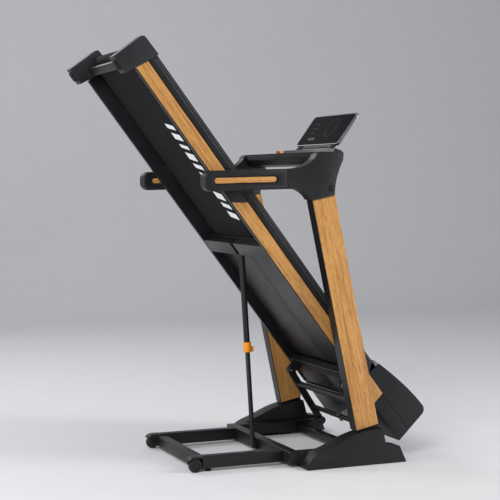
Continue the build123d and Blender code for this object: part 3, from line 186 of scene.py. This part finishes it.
def place_nodes(finish, turned=(0.0, 0.0, 0.0), stretch=(1.0, 1.0, 1.0)):
    """Object coordinates, turned into a grain's own directions and stretched along them."""
    where = add(finish, "ShaderNodeTexCoord")
    mapping = add(finish, "ShaderNodeMapping", vector_type="TEXTURE")
    mapping.inputs["Rotation"].default_value = turned
    mapping.inputs["Scale"].default_value = stretch
    wire(finish, where, "Object", mapping, "Vector")
    return mapping


def ramp_between(finish, source, output, stops):
    """A colour ramp through (position, colour) stops, driven by a node's output."""
    ramp = add(finish, "ShaderNodeValToRGB")
    bands = ramp.color_ramp.elements
    while len(bands) < len(stops):
        bands.new(0.5)
    for band, (position, colour) in zip(bands, stops):
        band.position = position
        band.color = (*colour, 1.0)
    wire(finish, source, output, ramp, "Fac")
    return ramp


WANDER_SCALE = 7.0


def grainy(name, colour, rough, grain, depth, metal=0.0, coat=0.0, wander=0.25, spread=0.12, sheen=0.36):
    """A moulded or coated finish: fine bump of this grain per metre, slow wander in shade and gloss."""
    finish, shader = new_finish(name, colour, rough, metal, coat, sheen)
    mapping = place_nodes(finish)
    fine = add(finish, "ShaderNodeTexNoise", Scale=grain, Detail=3.0)
    slow = add(finish, "ShaderNodeTexNoise", Scale=WANDER_SCALE, Detail=4.0)
    wire(finish, mapping, "Vector", fine, "Vector")
    wire(finish, mapping, "Vector", slow, "Vector")
    dark = tuple(c * (1 - wander) for c in colour)
    light = tuple(min(1.0, c * (1 + wander)) for c in colour)
    shade = ramp_between(finish, slow, "Fac", ((0.3, dark), (0.7, light)))
    wire(finish, shade, "Color", shader, "Base Color")
    gloss = add(finish, "ShaderNodeMapRange")
    gloss.inputs["To Min"].default_value = max(0.02, rough - spread)
    gloss.inputs["To Max"].default_value = min(1.0, rough + spread)
    wire(finish, slow, "Fac", gloss, "Value")
    wire(finish, gloss, "Result", shader, "Roughness")
    bump = add(finish, "ShaderNodeBump", Strength=0.35, Distance=depth)
    wire(finish, fine, "Fac", bump, "Height")
    wire(finish, bump, "Normal", shader, "Normal")
    return finish


# %% Blacks, greys and metals
finishes = {
    "black_steel": grainy("powder_coat", (0.0070, 0.0076, 0.0088), 0.40, 1500.0, 0.00012),
    "black_plastic": grainy("moulded_black", (0.0078, 0.0084, 0.0098), 0.44, 1100.0, 0.00016),
    "grey_plastic": grainy("moulded_grey", (0.014, 0.015, 0.017), 0.5, 1000.0, 0.00018),
    "bright_steel": grainy("zinc_plate", (0.55, 0.56, 0.58), 0.3, 500.0, 0.00006, metal=1.0, wander=0.1),
    "aluminium": grainy("cast_aluminium", (0.52, 0.53, 0.55), 0.42, 900.0, 0.0001, metal=1.0, wander=0.1),
    "silver_trim": grainy("satin_silver", (0.20, 0.205, 0.215), 0.36, 1400.0, 0.00004, metal=1.0, wander=0.08),
    "rubber": grainy("rubber", (0.0075, 0.0075, 0.008), 0.78, 700.0, 0.0002),
    "black_glass": grainy("gloss_black", (0.004, 0.0045, 0.006), 0.5, 60.0, 0.00001, spread=0.03, sheen=0.02),
    "yellow_plastic": grainy("orange_yellow", (0.86, 0.30, 0.012), 0.34, 900.0, 0.00008, wander=0.08, coat=0.2),
    "red_plastic": grainy("signal_red", (0.62, 0.035, 0.012), 0.34, 900.0, 0.00008, wander=0.08, coat=0.2),
    "cream_plastic": grainy("cream", (0.78, 0.55, 0.25), 0.4, 900.0, 0.00006, wander=0.06),
    "white_print": grainy("white_print", (0.80, 0.80, 0.79), 0.6, 1600.0, 0.00008, wander=0.06),
    "faint_print": grainy("faint_print", (0.034, 0.036, 0.040), 0.5, 1600.0, 0.00002, wander=0.06),
    "pale_print": grainy("pale_print", (0.11, 0.115, 0.12), 0.5, 1600.0, 0.00002, wander=0.06),
}
print("finishes", len(finishes))

# %% [markdown]
# ## Oak
#
# Oak cladding is sawn lengthways, so its grain runs along each piece: long bands of light and darker wood with
# short dark pores between them. Noise squeezed across the grain and stretched along it gives the bands, and a
# second, much finer noise gives the pores. Each run of wood has its own direction, so each has its own copy.


# %% Make oak along a direction
GRAIN_STRETCH, BAND_SCALE, PORE_SCALE = 22.0, 95.0, 700.0


def oak(name, along):
    """Oak whose grain follows (x, z): stretched noise for bands, finer stretched noise for pores."""
    finish, shader = new_finish(name, (0.62, 0.36, 0.14), 0.46)
    turned = (0.0, atan2(-along[1], along[0]), 0.0)
    mapping = place_nodes(finish, turned, (GRAIN_STRETCH, 1.0, 1.0))
    warp = add(finish, "ShaderNodeTexNoise", Scale=5.0, Detail=2.0)
    wire(finish, mapping, "Vector", warp, "Vector")
    bands = add(finish, "ShaderNodeTexNoise", Scale=BAND_SCALE, Detail=6.0, Distortion=0.5)
    wire(finish, mapping, "Vector", bands, "Vector")
    pores = add(finish, "ShaderNodeTexNoise", Scale=PORE_SCALE, Detail=3.0)
    wire(finish, mapping, "Vector", pores, "Vector")
    light = ramp_between(finish, bands, "Fac",
                         ((0.30, (0.38, 0.168, 0.043)), (0.44, (0.53, 0.258, 0.074)),
                          (0.58, (0.64, 0.335, 0.104)), (0.74, (0.47, 0.220, 0.060))))
    speck = ramp_between(finish, pores, "Fac", ((0.36, (0.56, 0.46, 0.36)), (0.48, (1.0, 1.0, 1.0))))
    tone = ramp_between(finish, warp, "Fac", ((0.3, (0.92, 0.90, 0.86)), (0.7, (1.04, 1.04, 1.04))))
    first = add(finish, "ShaderNodeMix", data_type="RGBA", blend_type="MULTIPLY")
    second = add(finish, "ShaderNodeMix", data_type="RGBA", blend_type="MULTIPLY")
    for mix, a, b in ((first, light, speck), (second, first, tone)):
        mix.inputs[0].default_value = 0.85
        output = a.outputs[2] if a is first else a.outputs["Color"]
        finish.node_tree.links.new(output, mix.inputs[6])
        finish.node_tree.links.new(b.outputs["Color"], mix.inputs[7])
    finish.node_tree.links.new(second.outputs[2], shader.inputs["Base Color"])
    bump = add(finish, "ShaderNodeBump", Strength=0.4, Distance=0.0002)
    wire(finish, pores, "Fac", bump, "Height")
    wire(finish, bump, "Normal", shader, "Normal")
    return finish


FOLD = radians(52.7)
LEAN = radians(12.1)
RAIL_TILT = radians(1.4)
finishes["deck_oak"] = oak("deck_oak", (-cos(FOLD), sin(FOLD)))
finishes["upright_oak"] = oak("upright_oak", (-sin(LEAN), cos(LEAN)))
finishes["rail_oak"] = oak("rail_oak", (cos(RAIL_TILT), sin(RAIL_TILT)))
finishes["board"] = oak("board_wood", (-cos(FOLD), sin(FOLD)))

# %% [markdown]
# ## The running belt
#
# A belt's underside is a tight woven cloth. Two sets of waves at right angles, one across the deck and one along
# it, cross like threads, and their product gives the bump. Their pitch is a little under two millimetres.


# %% Weave the belt
WAVE_METRES = 0.314  # the length of one wave at scale 1


def woven(name, colour, pitch):
    """Cloth on the deck: bands across and along it at this pitch, multiplied, as bump and a little shade."""
    finish, shader = new_finish(name, colour, 0.8, sheen=0.12)
    mapping = place_nodes(finish, (0.0, atan2(-sin(FOLD), -cos(FOLD)), 0.0))
    waves = []
    for direction in ("X", "Y"):
        wave = add(finish, "ShaderNodeTexWave", Scale=WAVE_METRES / pitch, bands_direction=direction)
        wire(finish, mapping, "Vector", wave, "Vector")
        waves.append(wave)
    both = add(finish, "ShaderNodeMath", operation="MULTIPLY")
    wire(finish, waves[0], "Fac", both, 0)
    wire(finish, waves[1], "Fac", both, 1)
    dark = tuple(c * 0.7 for c in colour)
    light = tuple(c * 1.5 for c in colour)
    shade = ramp_between(finish, both, "Value", ((0.0, dark), (1.0, light)))
    wire(finish, shade, "Color", shader, "Base Color")
    bump = add(finish, "ShaderNodeBump", Strength=0.5, Distance=0.0004)
    wire(finish, both, "Value", bump, "Height")
    wire(finish, bump, "Normal", shader, "Normal")
    return finish


finishes["belt"] = woven("belt_cloth", (0.0095, 0.010, 0.0115), 0.0018)
sweep.data.materials.append(grainy("sweep_paint", (0.78, 0.78, 0.79), 0.8, 200.0, 0.0001, wander=0.01))

# %% [markdown]
# ## Soft edges on the frame's parts
#
# No real edge is perfectly sharp: sheet metal is bent, plastic is drawn from a mould and wood is sanded. The
# frame's meshes are crisp and their triangles are loose, so each visible one is copied, its doubled points are
# merged and its flat faces are joined, and a bevel then rounds the edges that turn sharply.


# %% Copy a node with rounded edges
SHARP_TURN = radians(28)


def softened(node, width, segments=3, finish=None):
    """A merged copy of a node whose edges that turn more than SHARP_TURN are rounded by this width."""
    merged = bmesh.new()
    merged.from_mesh(frame["nodes"][node].data)
    bmesh.ops.remove_doubles(merged, verts=merged.verts, dist=2e-6)
    bmesh.ops.dissolve_limit(merged, angle_limit=radians(0.4), verts=merged.verts, edges=merged.edges)
    mesh = bpy.data.meshes.new(node + "_shell")
    merged.to_mesh(mesh)
    merged.free()
    mesh.shade_smooth()
    piece = bpy.data.objects.new(node + "_shell", mesh)
    bpy.context.scene.collection.objects.link(piece)
    mesh.materials.clear()
    mesh.materials.append(finishes[finish or slot_of_node[node]])
    edge = piece.modifiers.new("soft_edges", "BEVEL")
    edge.width = width
    edge.segments = segments
    edge.limit_method = "ANGLE"
    edge.angle_limit = SHARP_TURN
    edge.harden_normals = True
    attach(piece, body_of_node[node])
    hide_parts(node)
    return piece


EDGES = {
    "base_cover_left": 0.008, "base_cover_right": 0.008, "console_bracket_left": 0.0016,
    "console_bracket_right": 0.0016, "handrail_left": 0.0012, "handrail_right": 0.0012, "hood": 0.006,
    "hood_trim": 0.0008, "end_caps": 0.004, "deck_pans": 0.0012, "foot_rails": 0.0006, "console_tray": 0.0015,
    "console_panel": 0.0008, "display_plinth": 0.002, "display_housing": 0.0012, "display_rim": 0.0012,
    "display_glass": 0.0004, "deck_channel": 0.0008, "deck_side_rails": 0.0005, "lift_arms": 0.0012,
    "fold_pivot": 0.001, "strut_foot": 0.0008, "strut_lock_sleeve": 0.0014, "strut_upper": 0.0007,
    "strut_lower": 0.0007, "wheel_forks": 0.0014, "base_cross_tubes": 0.0008, "base_side_tubes": 0.0008,
    "deck_bolts": 0.0006, "floor_feet": 0.001, "actuator_body": 0.001, "drive_motor": 0.001,
}
WOOD_EDGES = {"upright_wood_left": "upright_oak", "upright_wood_right": "upright_oak",
              "deck_wood": "deck_oak", "handrail_inlays": "rail_oak"}
for node, width in EDGES.items():
    softened(node, width)
for node, grain in WOOD_EDGES.items():
    softened(node, 0.0009, 2, grain)
print("softened", len(EDGES) + len(WOOD_EDGES))

# %% Give every other node its finish
for node, piece in frame["nodes"].items():
    piece.data.materials.clear()
    finish = WOOD_EDGES.get(node, slot_of_node[node])
    piece.data.materials.append(finishes[finish])

# %% [markdown]
# ## A helper for small rounded pieces
#
# Keys, badges, printed bars and strips are all one shape: an outline with round corners that is drawn in a
# little at its top edge. The outline is a rounded rectangle, sampled corner by corner, and it is
# carried up through a few levels whose inset follows a quarter circle. Two flat caps close it.


# %% Round-cornered slab
def slab(name, centre, right, up, size, corner, height, edge=0.0, shear=0.0, body="base", finish="black_plastic"):
    """A rounded rectangle in the plane of right and up, raised along right x up and rounded at its top edge."""
    right = np.asarray(right, float) / np.linalg.norm(right)
    up = np.asarray(up, float) / np.linalg.norm(up)
    out = np.cross(right, up)
    turns = np.linspace(0, pi / 2, 7)
    quarter = np.concatenate([turns + k * pi / 2 for k in range(4)])
    signs = np.repeat([[1, 1], [-1, 1], [-1, -1], [1, -1]], len(turns), 0)
    steps = np.linspace(0, pi / 2, 4) if edge else np.array([0.0])
    levels = np.concatenate([[0.0], height - edge + edge * np.sin(steps)])
    insets = np.concatenate([[0.0], edge * (1 - np.cos(steps))])
    rings = []
    for level, inset in zip(levels, insets):
        radius = max(corner - inset, 1e-5)
        half = np.array(size) / 2 - inset - radius
        flat = signs * half + radius * np.stack([np.cos(quarter), np.sin(quarter)], -1)
        flat[:, 0] += shear * flat[:, 1]
        rings.append(np.asarray(centre) + flat[:, :1] * right + flat[:, 1:] * up + level * out)
    count = len(quarter)
    faces = [list(f) for f in grid_faces(len(rings), count, True)]
    faces.append(list(range(count))[::-1])
    faces.append(list(range((len(rings) - 1) * count, len(rings) * count)))
    piece = surface(name, np.concatenate(rings), faces)
    piece.data.materials.append(finishes[finish])
    piece.data.set_sharp_from_angle(angle=radians(40))
    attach(piece, body)
    return piece


# %% [markdown]
# ## Printed bars under the belt
#
# The belt's underside carries a bold white print near one edge. Here it is a row of plain slanted bars, a
# pattern with no meaning. Each is set into the cloth and stands a fifth of a millimetre proud of it.

# %% Print the bars
DECK_PLACE = np.array([HEEL_X - 0.1325, 0.0, 0.546])
DECK_ALONG = np.array([-cos(FOLD), 0.0, sin(FOLD)])
DECK_ABOVE = np.array([sin(FOLD), 0.0, cos(FOLD)])


def on_deck(s, y, t):
    """A point of the deck: s along it, y across the machine and t above its underside."""
    return DECK_PLACE + DECK_ALONG * s + DECK_ABOVE * t + np.array([0.0, y, 0.0])


BAR_START, BAR_PITCH, BAR_COUNT = 0.492, 0.0475, 10
BAR_WIDTHS = (0.030, 0.022, 0.034, 0.018)
BELT_UNDER = 0.0419
for n in range(BAR_COUNT):
    middle = on_deck(BAR_START + n * BAR_PITCH, -0.098, BELT_UNDER)
    slab(f"belt_bar_{n}", middle, -DECK_ALONG, (0, 1, 0), (BAR_WIDTHS[n % 4], 0.070), 0.002, 0.0004,
         shear=-0.22, body="deck", finish="white_print")
print("bars", BAR_COUNT)

# %% [markdown]
# ## Turned pieces
#
# Rings, caps and tread ribs are surfaces of revolution. A profile of (radius, height) points is swept around an
# axis: each point's ring is the axis point at its height plus its radius times two unit vectors weighted by the
# cosine and sine of the angle. A profile that returns to its first point makes a closed ring, and one that ends on
# radius zero makes a cap.


# %% Turn a profile
def turned(name, centre, axis, profile, body, finish, count=48):
    """A surface of revolution about an axis, from (radius, height) points given from one end round to the other."""
    axis = np.asarray(axis, float) / np.linalg.norm(axis)
    first = np.cross(axis, [0.0, 0.0, 1.0] if abs(axis[2]) < 0.9 else [1.0, 0.0, 0.0])
    first /= np.linalg.norm(first)
    second = np.cross(axis, first)
    angle = np.linspace(0, 2 * pi, count, endpoint=False)
    rim = np.cos(angle)[:, None] * first + np.sin(angle)[:, None] * second
    profile = np.array(profile, float)
    profile[:, 0] = np.maximum(profile[:, 0], 1e-5)
    points = np.asarray(centre) + profile[:, None, :1] * rim + profile[:, None, 1:] * axis
    faces = [list(f) for f in grid_faces(len(profile), count, True)]
    if np.allclose(profile[0], profile[-1]):
        points = points[:-1]
        faces = [[v % ((len(profile) - 1) * count) for v in f] for f in faces]
    piece = surface(name, points.reshape(-1, 3), faces)
    piece.data.materials.append(finishes[finish])
    piece.data.set_sharp_from_angle(angle=radians(35))
    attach(piece, body)
    return piece


def ring_profile(outer, inner, height, ease=0.0004):
    """The closed section of a flat ring with eased top edges."""
    return [(inner, 0.0), (outer, 0.0), (outer, height - ease), (outer - ease, height), (inner + ease, height),
            (inner, height - ease), (inner, 0.0)]


def cap_profile(radius, height, ease):
    """A disc's section with a rounded rim, from the foot of its rim to its middle."""
    steps = np.linspace(0, pi / 2, 6)
    return [(radius, 0.0)] + [(radius - ease + ease * cos(a), height - ease + ease * sin(a)) for a in steps] + [
        (0.0, height)]


SIDES = (("left", 1), ("right", -1))

# %% [markdown]
# ## Base and wheels
#
# The base covers have a row of fine ridges just above the floor, where a vacuum cleaner would knock them. The
# middle cross tube is closed by push-in plugs, and the small transport wheels have tread ribs and a hub cap.

# %% Ridges, plugs and treads
COVER_FACE, RIDGE_LOW, RIDGE_PITCH = 0.3959, 0.014, 0.0055
MIDDLE_TUBE_X, PLUG_Y, PLUG_Z = HEEL_X - 0.235, 0.3195, 0.036
WHEEL_X, WHEEL_Y, WHEEL_RADIUS, RIB_PITCH = HEEL_X - 0.616, 0.2525, 0.025, 0.0033
TREAD_RIB = [(0.0246, 0.0), (0.0253, 0.0003), (0.0253, 0.0013), (0.0246, 0.0016), (0.0246, 0.0)]
HUB_FACE = 0.0095
for side, sign in SIDES:
    out_right = (-sign, 0.0, 0.0)
    for row in range(4):
        ridge = (HEEL_X - 0.004 - 0.003 * row, sign * COVER_FACE, RIDGE_LOW + RIDGE_PITCH * row)
        slab(f"cover_ridge_{side}_{row}", ridge, out_right, (0, 0, 1), (0.395 - 0.008 * row, 0.0022), 0.0011,
             0.0007, 0.0005)
    slab(f"tube_plug_{side}", (MIDDLE_TUBE_X, sign * PLUG_Y, PLUG_Z), out_right, (0, 0, 1), (0.0365, 0.0425),
         0.003, 0.0025, 0.001)
    hub = np.array([WHEEL_X, sign * WHEEL_Y, WHEEL_RADIUS])
    wheel_body = body_of_node[f"transport_wheel_{side}"]
    for rib in range(4):
        turned(f"tread_rib_{side}_{rib}", hub + [0, (rib - 1.5) * RIB_PITCH, 0], (0, 1, 0), TREAD_RIB, wheel_body,
               "rubber")
    turned(f"hub_cap_{side}", hub + [0, sign * HUB_FACE, 0], (0, sign, 0), cap_profile(0.0085, 0.0016, 0.001),
           wheel_body, "grey_plastic")
print("base pieces placed")

# %% [markdown]
# ## Deck
#
# The foot rails' skirts are drawn with fine ribs from end to end, two of them paler than the rest. A thin bright
# silver strip along the cross channel is a painted highlight, and each rear roller end turns inside a ring on the
# end cap's inner wall. A black slanted plate across the oak, where the stored deck passes the handrail, paints its
# shadow.

# %% Skirt ribs, highlight strip, roller rings and shadow plates
SKIRT_MIDDLE, SKIRT_LENGTH, SKIRT_FACE = 0.459, 1.455, 0.3198
ROLLER_S, ROLLER_T, CAP_INNER_FACE, CAP_OUTER_FACE = 1.240, 0.0645, 0.2622, 0.3205
SHADOW_PLATE_S, WOOD_FACE, WOOD_MIDDLE, SHADOW_PLATE_SLANT = 0.6105, 0.3179, 0.0255, -0.78
PALE_RIBS = (3, 5)
for side, sign in SIDES:
    out_right = DECK_ALONG * sign
    for row in range(6):
        slab(f"skirt_rib_{side}_{row}", on_deck(SKIRT_MIDDLE, sign * SKIRT_FACE, 0.0595 + 0.005 * row), out_right,
             DECK_ABOVE, (SKIRT_LENGTH, 0.0018), 0.0008, 0.0010, 0.0005, body="deck",
             finish="pale_print" if row in PALE_RIBS else "black_steel")
    turned(f"roller_ring_{side}", on_deck(ROLLER_S, sign * CAP_INNER_FACE, ROLLER_T), (0, -sign, 0),
           ring_profile(0.0285, 0.0215, 0.0018), "deck", "grey_plastic")
    turned(f"axle_nut_{side}", on_deck(ROLLER_S, sign * CAP_OUTER_FACE, ROLLER_T), (0, sign, 0),
           cap_profile(0.009, 0.0018, 0.001), "deck", "grey_plastic", 32)
    # A black plate with slanted ends across the oak on each side: a painted shadow of the handrail.
    slab(f"handrail_shadow_plate_{side}", on_deck(SHADOW_PLATE_S, sign * WOOD_FACE, WOOD_MIDDLE), out_right, DECK_ABOVE,
         (0.075, 0.0520), 0.001, 0.0026, 0.0008, shear=SHADOW_PLATE_SLANT * sign, body="deck")
# A thin bright silver strip along the cross channel: a painted highlight.
slab("channel_highlight_strip", on_deck(0.3849, 0.0, 0.0345), (0, 1, 0), -DECK_ABOVE, (0.596, 0.003), 0.001, 0.0006, 0.0004,
     body="deck", finish="silver_trim")
print("deck pieces placed")

# %% [markdown]
# ## Console
#
# Each handrail key and console key carries one plain raised mark. The safety key has a pale slanted strip and a
# pale tab. The display is a dark face with a faint dial, a few ticks and a low round-ended window.

# %% Marks, bolt covers and the display's face
RAIL_FRONT, RAIL_MIDDLE_Z, RAIL_Y = HEEL_X - 0.296, 1.105, 0.3555
KEY_RISE = 0.0403  # from the handrail's middle line to just under the keys' tops
for side, sign in SIDES:
    bolt = (HEEL_X - 0.111, sign * 0.3808, 1.070)
    turned(f"bracket_bolt_{side}", bolt, (0, sign, 0), cap_profile(0.0095, 0.0034, 0.0022), "base", "black_steel",
           40)
    turned(f"bracket_washer_{side}", bolt, (0, sign, 0), ring_profile(0.0125, 0.0098, 0.0010), "base", "rubber")
    for use, key_x in (("minus", HEEL_X - 0.414), ("plus", HEEL_X - 0.382)):
        key_body = body_of_node[f"handrail_key_{use}_{side}"]
        middle = (key_x, sign * RAIL_Y, RAIL_MIDDLE_Z + (key_x - RAIL_FRONT) * sin(RAIL_TILT) + KEY_RISE)
        slab(f"key_mark_{use}_{side}", middle, (1, 0, 0), (0, 1, 0), (0.0085, 0.0015), 0.0006, 0.0005, 0.0002,
             body=key_body, finish="pale_print")
        if use == "plus":
            slab(f"key_cross_{side}", middle, (1, 0, 0), (0, 1, 0), (0.0015, 0.0085), 0.0006, 0.0005, 0.0002,
                 body=key_body, finish="pale_print")
CONSOLE_KEY_X, CONSOLE_KEY_Y, KEY_TOP = HEEL_X - 0.106, 0.092, 1.2093
slab("stop_mark", (CONSOLE_KEY_X, CONSOLE_KEY_Y, KEY_TOP), (1, 0, 0), (0, 1, 0), (0.008, 0.008), 0.001, 0.0006,
     0.0002, body=body_of_node["stop_key"], finish="pale_print")
turned("start_mark", (CONSOLE_KEY_X, -CONSOLE_KEY_Y, KEY_TOP), (0, 0, 1), cap_profile(0.0055, 0.0006, 0.0002),
       body_of_node["start_key"], "pale_print", 3)
SAFETY_X = HEEL_X - 0.152
slab("safety_strip", (SAFETY_X, 0.012, 1.2191), (0, 1, 0), (-1, 0, 0), (0.024, 0.0075), 0.002, 0.0009, 0.0004,
     shear=0.45, body=body_of_node["safety_key"], finish="cream_plastic")
slab("safety_tab", (SAFETY_X, -0.0098, 1.2151), (1, 0, 0), (0, 0.7, 0.7), (0.016, 0.018), 0.004, 0.0015, 0.0006,
     body=body_of_node["safety_key"], finish="cream_plastic")

DISPLAY_LEAN = radians(53.7)
DISPLAY_UP = np.array([cos(DISPLAY_LEAN), 0.0, sin(DISPLAY_LEAN)])
DISPLAY_OUT = np.array([-sin(DISPLAY_LEAN), 0.0, cos(DISPLAY_LEAN)])
DISPLAY_RIGHT = np.array([0.0, -1.0, 0.0])


def on_display(across, up, out):
    """A point of the display: across to the user's right, up from its bottom edge and out from its rim."""
    foot = np.array([HEEL_X + 0.005, 0.0, 1.244])
    return foot + DISPLAY_RIGHT * across + DISPLAY_UP * up + DISPLAY_OUT * out


FACE = -0.0006
DIAL = on_display(0.045, 0.088, FACE)
turned("dial_ring", DIAL, DISPLAY_OUT, ring_profile(0.046, 0.0448, 0.0004, 0.0001),
       "display", "faint_print", 96)
turned("dial_inner", DIAL, DISPLAY_OUT, ring_profile(0.033, 0.0325, 0.0004, 0.0001),
       "display", "grey_plastic", 96)
for tick in range(9):
    turn_by = radians(-40 + 32.5 * tick)
    outward = DISPLAY_RIGHT * cos(turn_by) + DISPLAY_UP * sin(turn_by)
    sideways = np.cross(DISPLAY_OUT, outward)
    slab(f"dial_tick_{tick}", DIAL + outward * 0.040, outward, sideways, (0.005, 0.0010),
         0.0004, 0.0004, body="display", finish="faint_print")
slab("display_window", on_display(-0.085, 0.034, FACE), DISPLAY_RIGHT, DISPLAY_UP, (0.060, 0.013), 0.0064, 0.0004,
     body="display", finish="grey_plastic")
for row, width in enumerate((0.040, 0.052, 0.034)):
    slab(f"display_field_{row}", on_display(-0.110, 0.066 + 0.022 * row, FACE), DISPLAY_RIGHT, DISPLAY_UP,
         (width, 0.0016), 0.0006, 0.0004, body="display", finish="faint_print")
print("console pieces placed")
